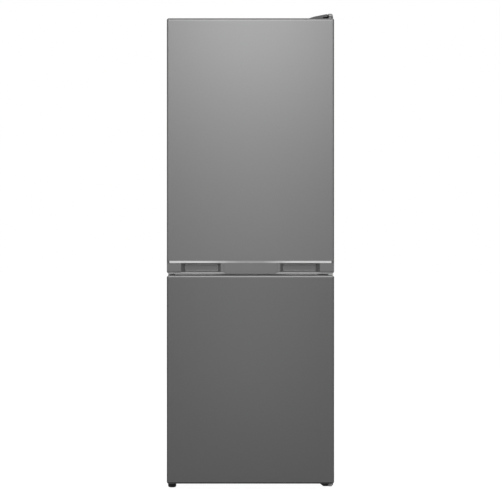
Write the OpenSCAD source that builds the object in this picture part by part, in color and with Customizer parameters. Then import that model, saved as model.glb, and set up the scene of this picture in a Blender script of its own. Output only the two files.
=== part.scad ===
// Two-door fridge-freezer, freezer below, both doors hinged on the right.
// Millimetres. +Z is up, the door fronts face -Y, and the origin is on the floor under the
// middle of the overall box.

/* [Overall size] */
// Width of the doors
door_w = 540; // [520:5:600]
// Depth from the door fronts to the wall spacers
body_d = 595; // [585:5:640]
// Height of the fridge door
fridge_door_h = 824.5; // [810:0.5:900]
// Height of the freezer door
freezer_door_h = 672.5; // [660:0.5:720]
// Gap between the two doors
door_gap = 5; // [5:0.5:7]
// Height of the freezer door's lower edge over the floor
floor_gap = 22.5; // [22:0.5:30]

/* [Cabinet] */
// How much narrower the cabinet is than the doors, on each side
cabinet_inset = 1.5; // [0:0.5:4]
// Sheet thickness of the cabinet wrap
sheet_t = 0.8; // [0.6:0.1:1.2]
// Bend radius of the wrap's top corners
wrap_r = 8; // [4:1:14]
// Width of the wrap's front flange
flange_w = 22; // [16:1:26]
// Wall of the vacuum-formed liners
liner_t = 1.5; // [1:0.1:2]
// Side wall, from the sheet's outside to the liner's inside
side_wall = 42; // [40:1:46]
// Top wall
top_wall = 56; // [52:1:66]
// Rear wall of the fridge compartment
rear_wall = 53; // [48:1:60]
// Floor wall of the freezer compartment
floor_wall = 54; // [48:1:58]
// Divider between the compartments
divider_t = 60; // [56:1:66]
// Corner radius of the compartments
cavity_r = 22; // [12:1:28]
// Height of the compressor recess
recess_h = 202; // [198:1:206]
// Depth of the compressor recess
recess_d = 163; // [160:1:168]
// Wall between the compressor recess and the freezer
recess_wall = 43; // [38:1:46]
// Space behind the rear panel for the condenser and the wall spacers
rear_space = 39.5; // [34:0.5:44]

/* [Doors] */
// Thickness of a door, without its gasket
door_t = 50; // [46:1:54]
// Gap between a door and the cabinet, filled by the gasket
seal_gap = 8; // [7:0.5:10]
// Radius of the doors' vertical front edges
edge_r = 5; // [3:0.5:7]
// Radius of the doors' corners, seen from the front
corner_r = 8; // [4:0.5:10]
// Radius of the doors' upper and lower front edges
lip_r = 5; // [3:0.5:7]
// Visible height of the end caps
cap_h = 9; // [8.5:0.5:12]
// Depth that an end cap's plug reaches into the skin
plug_h = 14; // [10:1:18]
// Height of the grip band, below its bevel
grip_h = 34; // [30:0.5:38]
// Height of the bright bevel over the grip band
bevel_h = 7.5; // [5:0.5:9]
// Set-back of the grip band behind the door's front
grip_setback = 4; // [2:0.5:5]
// Width of a finger pocket at the front
pocket_w = 127; // [100:1:140]
// Distance from the door's side to a finger pocket
pocket_side = 46; // [40:1:60]
// Depth of the finger pockets
pocket_d = 24; // [18:1:26]
// How far the skirt between the pockets hangs below the rest of the band
skirt_drop = 6.5; // [4:0.5:8]
// Set-back of the lip under the band's ends
lip_in = 7; // [6:0.5:8]
// Length of the recess for the middle hinge, left of its pin
notch_w = 38; // [34:1:44]
// Width of the ridge round a door's inner side
ridge_w = 24; // [20:1:28]
// Depth of the fridge door's ridge
fridge_ridge_d = 43; // [36:1:48]
// Depth of the freezer door's ridge
freezer_ridge_d = 28; // [22:1:30]
// Width of the gasket
gasket_w = 14; // [12:0.5:16]
// Distance from a door's edge to its gasket
gasket_in = 15.5; // [14.5:0.5:18]

/* [Hinges and feet] */
// Distance of the hinge pins from the door's right edge
pin_in = 12; // [12:0.5:16]
// Distance of the hinge pins behind the door's front
pin_back = 24; // [22:0.5:27]
// Radius of the hinge pins
pin_r = 4; // [3:0.25:5]
// Radial clearance of a pin in its bore
pin_fit = 0.08; // [0.05:0.01:0.1]
// Depth of the pins in the doors
pin_depth = 12; // [8:0.5:14]
// Thickness of the hinge plates
hinge_t = 3; // [2:0.5:3]
// Height of the top hinge cover over the cabinet top
cover_h = 15.5; // [15:0.5:20]
// Width of the top hinge cover
cover_w = 80; // [78:1:90]
// Wall of the top hinge cover
cover_wall = 2; // [1.5:0.25:2.25]
// Radius of the head over the top hinge's pin
pin_head_r = 9; // [6:0.5:9.5]
// Radius of the top hinge's strap round its pin
strap_r = 8; // [6:0.5:8]
// Width of the notch in the top hinge cover, left of the pin's head
cover_notch_w = 17; // [10:1:24]
// Height of that notch
cover_notch_h = 4; // [2:0.5:6]
// Distance from the door's side to the left foot's stem
foot_side = 13.5; // [13:0.5:20]
// Distance from the door's side to the right foot's stem
right_foot_side = 19; // [16:0.5:25]
// Radius of a foot's lower edge
foot_edge_r = 5; // [2:0.5:6]
// Radius of the front feet
foot_r = 13.5; // [10:0.5:16]
// Height of a foot's disc
foot_h = 12; // [8:0.5:14]
// Radius of a foot's stem
stem_r = 4; // [3:0.25:6]
// Radius of the rear rollers
roller_r = 17; // [14:0.5:18]
// Width of the rear rollers
roller_w = 15; // [10:0.5:18]
// Distance from the door's side to a roller's middle
roller_side = 31; // [29:1:36]
// Distance from the rear panel to the rollers' axles
roller_back = 33; // [30:1:36]
// Radius of the rollers' axles
axle_r = 3; // [2:0.5:4]
// How far the compressor's rail reaches behind the axles
rail_tail = 21; // [18:1:26]

/* [Fridge inside] */
// Thickness of the glass
glass_t = 4; // [3:0.5:5]
// Distance between the glass shelves
shelf_pitch = 165; // [150:1:170]
// Height of the crisper drawer
crisper_h = 195; // [150:1:205]
// Wall of the crisper drawer
crisper_wall = 3; // [2:0.5:4]
// Distance from the compartment's sides to the crisper drawer
crisper_side = 23; // [16:1:30]
// Distance from the cabinet's front to the shelves' front
shelf_back = 110; // [108:1:125]
// Corner radius of the crisper drawer's front
crisper_r = 24; // [14:1:30]
// Wall of the door bins
bin_wall = 2.5; // [2:0.5:3.5]
// Depth of the door bins
bin_d = 95; // [70:1:95]
// Corner radius of the door bins
bin_r = 24; // [12:1:30]
// Height of the bottle bin
bottle_bin_h = 105; // [80:1:120]
// Height of the two upper door bins
small_bin_h = 75; // [55:1:85]
// Height of the bottle bin's seat over the fridge compartment's floor
bin_rise = 54.5; // [54:0.5:70]
// Distance from the ceiling to the top bin's floor
top_bin_drop = 170; // [165:1:190]
// Distance between the two upper door bins
bin_pitch = 190; // [160:1:200]
// Depth of the ledges that carry the glass
ledge_d = 12; // [9:0.5:14]
// Width of the thermostat's housing
housing_w = 210; // [200:1:240]
// Depth of the thermostat's housing
housing_d = 150; // [145:1:165]
// Height of the thermostat's housing
housing_h = 42; // [40:1:48]
// Wall of the thermostat's housing
housing_wall = 3; // [2:0.5:3.5]
// Distance from the cabinet's front to the thermostat's housing
housing_back = 100; // [98:1:110]
// Width of the lamp's window
lamp_w = 124; // [100:1:140]
// Depth of the lamp's window
lamp_d = 65; // [50:1:70]
// Radius of the thermostat knob
knob_r = 16; // [13:0.5:17]
// Distance from the middle to the thermostat knob
knob_x = 62; // [40:1:80]
// Distance from the ceiling to the light switch
switch_drop = 70; // [60:1:90]

/* [Freezer inside] */
// Half width of the freezer drawers
drawer_hw = 200; // [180:1:204]
// Wall of the freezer drawers
drawer_wall = 2.5; // [2:0.5:3.5]
// Thickness of the drawers' front panels
drawer_front = 8; // [6:0.5:10]
// Distance from the cabinet's front to the drawers' front
drawer_back = 44; // [42:1:50]
// Radius of the evaporator tube
evap_r = 4; // [3:0.5:5]
// Distance between the runs of an evaporator shelf
evap_pitch = 40; // [30:1:50]
// Distance between the evaporator shelves
evap_gap = 190; // [180:1:196]
// Space over a drawer, under the evaporator shelf above it
drawer_gap = 11; // [8:1:16]
// Width of the grip cut-outs of the drawers
drawer_grip_w = 140; // [100:1:180]
// Depth of the grip cut-outs of the drawers
drawer_grip_h = 34; // [24:1:40]
// Corner radius of the drawers' tubs
tub_r = 14; // [8:1:20]

/* [Cooling unit] */
// Radius of the compressor's shell
compressor_r = 72; // [60:1:74]
// Height of the compressor's shell
compressor_h = 128; // [110:1:130]
// Place of the compressor, to the right of the middle
compressor_x = 95; // [70:1:120]
// Width of the compressor's foot plate
comp_foot_w = 180; // [174:1:190]
// Depth of the compressor's foot plate
comp_foot_d = 116; // [110:1:124]
// Height of the compressor's rubber mounts
mount_h = 16; // [14:0.5:18]
// Width of the evaporation tray
tray_w = 170; // [140:1:180]
// Depth of the evaporation tray
tray_d = 124; // [110:1:130]
// Height of the evaporation tray
tray_h = 20; // [14:1:24]
// Radius of the filter drier
drier_r = 9; // [7:0.5:11]
// Length of the filter drier
drier_h = 110; // [90:1:120]
// Distance from the door's side to the condenser's bends
cond_side = 48; // [44:1:56]
// Height of the condenser's lowest run over the compressor recess
cond_rise = 168; // [160:1:180]
// Radius of the condenser tube
cond_r = 2.4; // [2:0.1:3]
// Distance between the condenser's runs
cond_pitch = 60; // [48:1:66]
// Radius of the condenser wires
wire_r = 0.8; // [0.6:0.1:1]
// Distance between the condenser wires
wire_pitch = 13; // [10:0.5:20]
// How far the condenser wires reach past the outer runs
wire_end = 22; // [14:1:26]
// Radius of the refrigerant pipes
pipe_r = 3; // [2.5:0.25:4]

/* [Hidden] */
$fn = 48;
seat = 0.3;             // gap of a piece at its seat
slide_gap = 2;          // side play of loose inner pieces
hw = door_w / 2;
cw = hw - cabinet_inset;
y_front = -body_d / 2;
y_seal = y_front + door_t;
y_cab = y_seal + seal_gap;
y_wall = body_d / 2 - rear_space;
z_frz0 = floor_gap;
z_frz1 = z_frz0 + freezer_door_h;
z_frg0 = z_frz1 + door_gap;
z_frg1 = z_frg0 + fridge_door_h;
z_mid = (z_frz1 + z_frg0) / 2;
z_cab = floor_gap + 6;
z_top = z_frg1 + 1.5;
in_hw = hw - side_wall;
z_fi0 = z_mid + divider_t / 2;
z_fi1 = z_top - top_wall;
y_fi = y_wall - rear_wall;
z_zi0 = z_cab + floor_wall;
z_zi1 = z_mid - divider_t / 2;
y_zi = y_fi - 5;
y_rec = y_wall - recess_d;
z_rec = z_cab + recess_h;
y_step = y_rec - recess_wall;
z_step = z_rec + recess_wall + 1;
pin_x = hw - pin_in;
pin_y = y_front + pin_back;
trim_h = grip_h + bevel_h;
frg_low = z_frg0 + trim_h;
frg_high = z_frg1 - cap_h;
frz_low = z_frz0 + cap_h;
frz_high = z_frz1 - cap_h;
z_bracket = z_frz0 - 7; // underside of the bottom hinge's plate
skin_ret = 12;          // width of the skins' returns behind the doors
grip_rim = 10;          // height of the grip moulding's rim behind the fridge door
ridge_gap = 6;          // space over and under a door's ridge in its compartment
lip_back = lip_in + 6;  // depth of the inner lip's back face in the fridge door
plug_fit = 0.2;         // gap round an end cap's plug
plug_in = sheet_t + plug_fit;
y_plug = y_seal - liner_t - plug_fit;

rail_hh = divider_t / 2 - 8;
base_lip = 24;
ridge_hw = in_hw - 14;
hole_hw = ridge_hw - ridge_w;
shelf_y0 = y_cab + shelf_back;
shelf_y1 = y_fi - 30;
z_cover = z_fi0 + seat + crisper_h + 8;
z_evap1 = z_step + evap_r + 3;
z_evap2 = z_evap1 + evap_gap;
comp_y = y_rec + recess_d / 2;
z_rail = z_cab + 10;
z_comp = z_rail + 2 + mount_h;
z_comp1 = z_comp + 3 + compressor_h;
cond_y = y_wall + 16;
cond_hw = hw - cond_side;
cond_runs = 17;
z_cond = z_rec + cond_rise;
z_cond1 = z_cond + (cond_runs - 1) * cond_pitch;
drier_x = 46 - cond_hw;
z_drier = z_cond - 80 - drier_h;
bolt_x = comp_foot_w / 2 - 12;
bolt_y = comp_foot_d / 2 - 12;
foot_x = [-hw + foot_side, hw - right_foot_side];
foot_y = [y_cab + 17.5, y_cab + 41.5];
roller_x = hw - roller_side;
roller_y = y_wall - roller_back;
y_house = y_cab + housing_back;
y_lamp = y_house + 60;
z_house = z_fi1 - housing_h;
z_knob = z_fi1 - housing_h / 2;
spindle_r = 3;
z_switch = z_fi1 - switch_drop;
bin_z = [z_fi0 + bin_rise, z_fi1 - top_bin_drop - bin_pitch, z_fi1 - top_bin_drop];
bin_h = [bottle_bin_h, small_bin_h, small_bin_h];

// A box between two corners
module box(lo, hi) {
  translate(lo) cube(hi - lo);
}

// The same piece on the left and on the right
module both_sides() {
  children();
  mirror([1, 0, 0]) children();
}

// A rectangle with a radius for each corner, from the lower left one and counter-clockwise
module rounded(lo, hi, r) {
  polygon([[lo[0] + r[0], lo[1]], [hi[0] - r[1], lo[1]], [hi[0], lo[1] + r[1]],
           [hi[0], hi[1] - r[2]], [hi[0] - r[2], hi[1]], [lo[0] + r[3], hi[1]],
           [lo[0], hi[1] - r[3]], [lo[0], lo[1] + r[0]]]);
  if (r[0] > 0) translate([lo[0] + r[0], lo[1] + r[0]]) circle(r[0]);
  if (r[1] > 0) translate([hi[0] - r[1], lo[1] + r[1]]) circle(r[1]);
  if (r[2] > 0) translate([hi[0] - r[2], hi[1] - r[2]]) circle(r[2]);
  if (r[3] > 0) translate([lo[0] + r[3], hi[1] - r[3]]) circle(r[3]);
}

// An outline drawn in Y and Z, from x0 to x1
module along_x(x0, x1) {
  translate([x0, 0, 0]) rotate([90, 0, 90]) linear_extrude(x1 - x0) children();
}

// An outline drawn in X and Z, from y0 to y1
module along_y(y0, y1) {
  translate([0, y1, 0]) rotate([90, 0, 0]) linear_extrude(y1 - y0) children();
}

// An outline drawn in X and Y, from z0 to z1
module along_z(z0, z1) {
  translate([0, 0, z0]) linear_extrude(z1 - z0) children();
}

// A round bar from x0 to x1, and the same along Y and Z
module bar_x(x0, x1, y, z, r) {
  translate([x0, y, z]) rotate([0, 90, 0]) cylinder(h = x1 - x0, r = r);
}
module bar_y(y0, y1, x, z, r) {
  translate([x, y1, z]) rotate([90, 0, 0]) cylinder(h = y1 - y0, r = r);
}
module bar_z(z0, z1, x, y, r) {
  translate([x, y, z0]) cylinder(h = z1 - z0, r = r);
}

// A length of tube whose square corners are bent to one radius
module tube(points, r, bend) {
  last = len(points) - 1;
  dirs = [for (i = [0:last - 1]) (points[i + 1] - points[i]) / norm(points[i + 1] - points[i])];
  for (i = [0:last - 1]) {
    d = dirs[i];
    start = points[i] + (i > 0 ? bend : 0) * d;
    run = norm(points[i + 1] - start) - (i < last - 1 ? bend : 0);
    side = abs(d[2]) > 0.5 ? [1, 0, 0] : [0, 0, 1];
    multmatrix([for (k = [0:2]) [side[k], cross(d, side)[k], d[k], start[k]]])
      cylinder(h = run, r = r);
    if (i < last - 1) {
      e = dirs[i + 1];
      middle = points[i + 1] - bend * d + bend * e;
      multmatrix([for (k = [0:2]) [-e[k], d[k], cross(d, e)[k], middle[k]]])
        rotate_extrude(angle = 90) translate([bend, 0]) circle(r);
    }
  }
}

// Points of a tube that runs to and fro between two ends, one pitch further each time
function to_and_fro(near, far, step, runs) =
  [for (i = [0:runs - 1]) for (end = i % 2 == 0 ? [near, far] : [far, near]) end + i * step];

// Cabinet

// The fridge compartment's hollow, grown by g, from the front plane y0
module fridge_space(g, y0) {
  r = cavity_r + g;
  intersection() {
    along_y(y0, y_fi + g)
      rounded([-in_hw - g, z_fi0 - g], [in_hw + g, z_fi1 + g], [r, r, r, r]);
    along_z(z_fi0 - g - 1, z_fi1 + g + 1)
      rounded([-in_hw - g, y0 - 1], [in_hw + g, y_fi + g], [0, 0, r, r]);
  }
}

// The freezer compartment's hollow, grown by g, with the step over the compressor recess
module freezer_space(g, y0) {
  r = cavity_r + g;
  difference() {
    intersection() {
      along_y(y0, y_zi + g)
        rounded([-in_hw - g, z_zi0 - g], [in_hw + g, z_zi1 + g], [r, r, r, r]);
      along_z(z_zi0 - g - 1, z_zi1 + g + 1)
        rounded([-in_hw - g, y0 - 1], [in_hw + g, y_zi + g], [0, 0, r, r]);
    }
    box([-in_hw - g - 1, y_step + g, z_zi0 - g - 2], [in_hw + g + 1, y_zi + g + 1, z_step - g]);
  }
}

// Painted sheet, bent over both sides and the top, with a flange round the front
module cabinet_wrap() {
  color("silver") difference() {
    along_y(y_cab, y_wall)
      rounded([-cw, z_cab], [cw, z_top], [0, 0, wrap_r, wrap_r]);
    along_y(y_cab + sheet_t, y_wall + 1)
      rounded([-cw + sheet_t, z_cab - 1], [cw - sheet_t, z_top - sheet_t],
              [0, 0, wrap_r - sheet_t, wrap_r - sheet_t]);
    box([-cw + flange_w, y_cab - 1, z_cab - 1],
        [cw - flange_w, y_cab + sheet_t + 1, z_top - flange_w]);
  }
}

// Rear panel over the compressor recess, with two pressed stiffening beads
module rear_panel() {
  color("gray") difference() {
    along_y(y_wall - sheet_t, y_wall)
      rounded([-cw + sheet_t, z_rec + 1], [cw - sheet_t, z_top - sheet_t],
              [0, 0, wrap_r - sheet_t, wrap_r - sheet_t]);
    both_sides() box([cond_hw + 12, y_wall - sheet_t / 2, z_rec + 60],
                     [cond_hw + 24, y_wall + 1, z_top - 60]);
  }
}

// Stepped base plate with side flanges in the recess and the bushes of the front feet
module base_plate() {
  t = 1;
  color("darkgray") difference() {
    union() {
      along_x(-cw + sheet_t, cw - sheet_t)
        polygon([[y_cab + sheet_t, z_cab], [y_rec, z_cab], [y_rec, z_rec], [y_wall, z_rec],
                 [y_wall, z_rec + t], [y_rec - t, z_rec + t], [y_rec - t, z_cab + t],
                 [y_cab + sheet_t, z_cab + t]]);
      box([-cw + flange_w, y_cab, z_cab], [cw - flange_w, y_cab + liner_t, z_cab + base_lip]);
      both_sides() box([cw - sheet_t - t, y_rec - t, z_cab], [cw - sheet_t, y_wall, z_rec + t]);
      for (i = [0, 1]) bar_z(foot_h + seat, z_cab, foot_x[i], foot_y[i], foot_r - 2);
    }
    for (i = [0, 1])
      bar_z(foot_h - 1, z_cab - 1, foot_x[i], foot_y[i], stem_r + pin_fit);
  }
}

// Front rail between the two compartments
module centre_rail() {
  color("silver") along_y(y_cab, y_cab + liner_t)
    rounded([-cw + flange_w, z_mid - rail_hh], [cw - flange_w, z_mid + rail_hh], [0, 0, 0, 0]);
}

// Foamed-in insulation between the wrap and the liners
module cabinet_foam() {
  r = wrap_r - sheet_t;
  color("khaki") difference() {
    along_y(y_cab + liner_t, y_wall - sheet_t)
      rounded([-cw + sheet_t, z_cab + 1], [cw - sheet_t, z_top - sheet_t], [0, 0, r, r]);
    fridge_space(liner_t, y_cab);
    freezer_space(liner_t, y_cab);
    box([-cw, y_rec - 1, z_cab - 1], [cw, y_wall + 1, z_rec + 1]);
  }
}

// A ledge on both side walls of a liner
module ledges(depth, y0, y1, z, h) {
  both_sides() box([in_hw - depth, y0, z - h], [in_hw + liner_t / 2, y1, z]);
}

// Flange of a liner round its mouth
module mouth(z0, z1) {
  box([-cw + flange_w, y_cab, z0], [cw - flange_w, y_cab + liner_t, z1]);
}

// Vacuum-formed liner of the fridge compartment, with the ledges of its shelves
module fridge_liner() {
  color("white") {
    difference() {
      union() {
        fridge_space(liner_t, y_cab);
        mouth(z_mid + rail_hh, z_top - flange_w);
      }
      fridge_space(0, y_cab - 1);
    }
    for (i = [0:4])
      ledges(ledge_d, shelf_y0 + 22, shelf_y1 - 16, z_cover + i * shelf_pitch / 2, 8);
  }
}

// Vacuum-formed liner of the freezer compartment, with the ledges of its evaporators
module freezer_liner() {
  color("white") {
    difference() {
      union() {
        freezer_space(liner_t, y_cab);
        mouth(z_cab + base_lip, z_mid - rail_hh);
      }
      freezer_space(0, y_cab - 1);
    }
    ledges(14, y_cab + 55, y_step + liner_t, z_evap1 - evap_r - seat, 8);
    ledges(14, y_step, y_zi - 20, z_evap1 - evap_r - seat,
           z_evap1 - evap_r - seat - z_step + liner_t / 2);
    ledges(14, y_cab + 55, y_zi - 20, z_evap2 - evap_r - seat, 8);
  }
}

// Hinges

// Steel strap on the cabinet's top, with the pin of the fridge door and its mushroom head
module top_hinge() {
  x0 = hw - 56;
  r = pin_head_r;
  z0 = z_top + hinge_t;
  z1 = z_top + cover_h;
  color("lightgray") {
    along_z(z_top, z0) {
      polygon([[x0, y_cab + 62], [pin_x + 6, y_cab + 62], [pin_x + strap_r, pin_y],
               [pin_x - strap_r, pin_y], [x0, y_cab + 8]]);
      translate([pin_x, pin_y]) circle(strap_r);
    }
    bar_z(z_frg1 - pin_depth, z_top, pin_x, pin_y, pin_r);
    translate([pin_x, pin_y, 0]) rotate_extrude()
      polygon([[0, z0], [pin_r, z0], [pin_r, z0 + 1.5], [r, z0 + 4], [r, z1 - 3], [r - 3, z1],
               [0, z1]]);
  }
}

// Form of the top hinge cover, rising to the right in two slopes, shrunk by g except at its foot
module hinge_cover_form(g) {
  x0 = hw - 2 - cover_w;
  y0 = pin_y - 12.5;
  y1 = y_cab + 68;
  intersection() {
    along_z(z_top - g, z_top + cover_h)
      rounded([x0 + g, y0 + g], [hw - 2 - g, y1 - g], [3 - g, 12 - g, 6 - g, 6 - g]);
    along_y(y0, y1)
      rounded([x0 - 1, z_top - 3], [hw - 2 - g, z_top + cover_h - g], [0, 0, 6 - g, 0]);
    along_y(y0, y1)
      polygon([[x0 - 1, z_top - 3], [hw, z_top - 3], [hw, z_top + cover_h + 5],
               [pin_x, z_top + cover_h - g], [x0 + cover_w / 4.5, z_top + cover_h / 3 - g],
               [x0 - 1, z_top - 1 - g]]);
  }
}

// Moulded cover over the top hinge, cut away round the pin's head, with a notch beside it
module top_hinge_cover() {
  r = pin_head_r + 0.8;
  color("dimgray") difference() {
    hinge_cover_form(0);
    hinge_cover_form(cover_wall);
    along_z(z_top - 1, z_top + cover_h + 1)
      rounded([pin_x - r, pin_y - 20], [hw, pin_y + r], [0, 0, 0, r]);
    box([pin_x - r - cover_notch_w + 4, pin_y - 20, z_top - 1],
        [pin_x, pin_y - 10, z_top + cover_notch_h]);
  }
}

// Bracket between the doors: a plate on the centre rail, an arm, two pins and a spacer
module middle_hinge() {
  color("lightgray") {
    box([pin_x - 48, y_cab - hinge_t, z_mid - 13], [pin_x + 6, y_cab, z_mid + 13]);
    along_z(z_mid - hinge_t / 2, z_mid + hinge_t / 2) {
      polygon([[pin_x - 40, y_cab - hinge_t], [pin_x + 6, y_cab - hinge_t], [pin_x + 11, pin_y],
               [pin_x - 11, pin_y]]);
      translate([pin_x, pin_y]) circle(11);
    }
    bar_z(z_frz1 - pin_depth, z_frg0 + skirt_drop + pin_depth, pin_x, pin_y, pin_r);
    bar_z(z_mid, z_frg0 + skirt_drop - seat, pin_x, pin_y, pin_r + 2.5);
  }
}

// Bracket under the freezer door, stepped down from the cabinet's base
module bottom_hinge() {
  z = z_bracket;
  color("lightgray") {
    box([pin_x - 34, y_cab, z_cab - hinge_t], [pin_x + 8, y_cab + 24, z_cab]);
    box([pin_x - 34, y_cab - hinge_t, z], [pin_x + 8, y_cab, z_cab]);
    along_z(z, z + hinge_t) {
      polygon([[pin_x - 20, y_cab - hinge_t], [pin_x + 8, y_cab - hinge_t], [pin_x + 10, pin_y],
               [pin_x - 10, pin_y]]);
      translate([pin_x, pin_y]) circle(10);
    }
    bar_z(z, z_frz0 + pin_depth, pin_x, pin_y, pin_r);
    bar_z(z + hinge_t, z_frz0 - seat, pin_x, pin_y, pin_r + 2.5);
    translate([pin_x, pin_y, z - 4]) cylinder(h = 4, r = 6.5, $fn = 6);
  }
}

// Tapered cover in front of the bottom bracket
module bottom_hinge_cover() {
  z = z_bracket;
  color("black") difference() {
    along_y(pin_y - 13, y_cab - hinge_t - seat)
      polygon([[pin_x - 34, z_frz0 - 0.5], [pin_x - 22.5, z - 2], [pin_x - 10.5, z - 2],
               [pin_x - 10.5, z_frz0 - 0.5]]);
    box([pin_x - 24, pin_y - 10, z - seat], [pin_x, y_cab, z + hinge_t + seat]);
  }
}

// A hexagon screw head seen along Z, standing on z
module head_z(x, y, z) {
  translate([x, y, z]) cylinder(h = 3, r = 5, $fn = 6);
}

// Screws of the hinges, the rail and the compressor
module screws() {
  color("lightgray") {
    for (p = [[hw - 42, y_cab + 52], [hw - 22, y_cab + 52], [hw - 32, y_cab + 24]])
      head_z(p[0], p[1], z_top + hinge_t);
    for (x = [pin_x - 40, pin_x - 22], z = [-8, 8])
      translate([x, y_cab - hinge_t, z_mid + z]) rotate([90, 0, 0])
        cylinder(h = 2.5, r = 4.5, $fn = 6);
    for (x = [pin_x - 28, pin_x - 4]) head_z(x, y_cab + 12, z_cab - hinge_t - 3);
    for (x = [-1, 1], y = [-1, 1])
      head_z(compressor_x + x * bolt_x, comp_y + y * bolt_y, z_comp + 3);
  }
}

// Feet and rollers

// Adjustable foot: a disc with a rounded lower edge, and its stem
module foot(i) {
  color("black") translate([foot_x[i], foot_y[i], 0]) {
    rotate_extrude() intersection() {
      rounded([-foot_r, 0], [foot_r, foot_h], [foot_edge_r, foot_edge_r, 1, 1]);
      square([foot_r, foot_h]);
    }
    translate([0, 0, foot_h]) cylinder(h = z_cab - 1.5 - foot_h, r = stem_r);
  }
}
module left_foot() {
  foot(0);
}
module right_foot() {
  foot(1);
}

// Rear roller with its hub
module roller(side) {
  x = side * roller_x;
  color("black") difference() {
    bar_x(x - roller_w / 2, x + roller_w / 2, roller_y, roller_r, roller_r);
    bar_x(x - roller_w, x + roller_w, roller_y, roller_r, axle_r + pin_fit);
    for (s = [-1, 1])
      translate([x + s * (roller_w / 2), roller_y, roller_r]) rotate([0, 90, 0])
        rotate_extrude() translate([2 * axle_r, -2]) square([roller_r - 4 - 2 * axle_r, 4]);
  }
}
module left_roller() {
  roller(-1);
}
module right_roller() {
  roller(1);
}

// Rail under the compressor, with the ears and axles of the rollers
module compressor_rail() {
  x1 = cw - sheet_t - 1;
  y0 = y_rec + 14;
  gap = roller_w / 2 + 0.5;
  ear = 2.5;
  color("darkgray") {
    box([-x1, y0, z_rail], [x1, roller_y + rail_tail, z_rail + 2]);
    box([-x1, y0, z_rail - 8], [x1, y0 + 2, z_rail]);
    both_sides() {
      for (e = [roller_x - gap - ear, roller_x + gap])
        along_x(e, e + ear)
          polygon([[roller_y - 15, z_rail], [roller_y - 8, roller_r - 8],
                   [roller_y + 8, roller_r - 8], [roller_y + 15, z_rail]]);
      bar_x(roller_x - gap - ear - 1.5, roller_x + gap + ear + 1.5, roller_y, roller_r, axle_r);
    }
  }
}

// Moulded spacers that keep the cabinet off the wall; they also clip the condenser
module rear_spacers() {
  color("black") for (z = [z_cond, z_cond1 - cond_pitch]) both_sides() {
    x = 10.5 * wire_pitch;
    y1 = z > z_cond ? body_d / 2 : cond_y + 6;
    difference() {
      along_x(x - 4, x + 4) rounded([y_wall, z - 14], [y1, z + 14], [0, 5, 5, 0]);
      bar_x(x - 5, x + 5, cond_y, z, cond_r + pin_fit);
    }
  }
}

// Fridge inside

// A pane of glass in a fridge shelf or over the crisper
module pane(z) {
  color("lightcyan")
    box([-in_hw + slide_gap, shelf_y0 + 3, z], [in_hw - slide_gap, shelf_y1 - 3, z + glass_t]);
}

// Front and rear trim of a pane
module trims(z) {
  color("whitesmoke") difference() {
    along_x(-in_hw + slide_gap, in_hw - slide_gap) {
      rounded([shelf_y0, z - 6], [shelf_y0 + 20, z + glass_t + 3], [4, 2, 2, 4]);
      rounded([shelf_y1 - 14, z - 4], [shelf_y1, z + glass_t + 12], [2, 2, 2, 2]);
    }
    box([-hw, shelf_y0 + 3, z], [hw, shelf_y1 - 3, z + glass_t]);
    box([-hw, shelf_y1 - 15, z + glass_t + 2], [hw, shelf_y1 - 3, z + glass_t + 13]);
  }
}
module shelf_glass_1() {
  pane(z_cover + shelf_pitch);
}
module shelf_glass_2() {
  pane(z_cover + 2 * shelf_pitch);
}
module shelf_trim_1() {
  trims(z_cover + shelf_pitch);
}
module shelf_trim_2() {
  trims(z_cover + 2 * shelf_pitch);
}
module crisper_cover() {
  pane(z_cover);
}
module crisper_trim() {
  trims(z_cover);
}

// Open drawer for vegetables, with a grip cut-out in its front
module crisper_drawer() {
  x = in_hw - crisper_side;
  y0 = shelf_y0 + 2;
  z0 = z_fi0 + seat;
  w = crisper_wall;
  color("lightblue") difference() {
    along_z(z0, z0 + crisper_h) rounded([-x, y0], [x, y_fi - 35], [crisper_r, crisper_r, 12, 12]);
    along_z(z0 + w, z0 + crisper_h + 1)
      rounded([-x + w, y0 + w], [x - w, y_fi - 35 - w],
              [crisper_r - w, crisper_r - w, 12 - w, 12 - w]);
    along_y(y0 - 1, y0 + w + 1)
      rounded([-65, z0 + crisper_h - 26], [65, z0 + crisper_h + 1], [12, 12, 0, 0]);
  }
}

// Housing of the thermostat and the lamp, under the ceiling
module control_housing() {
  x = housing_w / 2;
  y1 = y_house + housing_d;
  w = housing_wall;
  r = 14;
  color("whitesmoke") difference() {
    along_x(-x, x) rounded([y_house, z_house], [y1, z_fi1], [r, r, 0, 0]);
    along_x(w - x, x - w)
      rounded([y_house + w, z_house + w], [y1 - w, z_fi1 + 1], [r - w, r - w, 0, 0]);
    box([-lamp_w / 2, y_lamp, z_house - 1], [lamp_w / 2, y_lamp + lamp_d, z_house + w + 1]);
    bar_y(y_house - 1, y_house + w + 1, knob_x, z_knob, spindle_r + pin_fit);
  }
}

// Clear cover in the housing's window
module lamp_cover() {
  color("white")
    box([-lamp_w / 2, y_lamp, z_house], [lamp_w / 2, y_lamp + lamp_d, z_house + housing_wall]);
}

// Lamp and its holder, on the housing's rear wall
module lamp() {
  y1 = y_house + housing_d - housing_wall - 0.5;
  color("lightyellow") {
    bar_y(y1 - 36.5, y1, 0, z_knob, 9);
    translate([0, y1 - 44.5, z_knob]) sphere(12);
  }
}

// Thermostat knob with a finger bar and a spindle
module thermostat_knob() {
  y0 = y_house - seat;
  color("whitesmoke") {
    bar_y(y0 - 6, y0, knob_x, z_knob, knob_r);
    along_y(y0 - 14, y0 - 6)
      rounded([knob_x - 4, z_knob - knob_r + 1], [knob_x + 4, z_knob + knob_r - 1], [3, 3, 3, 3]);
    bar_y(y0, y0 + 12, knob_x, z_knob, spindle_r);
  }
}

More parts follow.
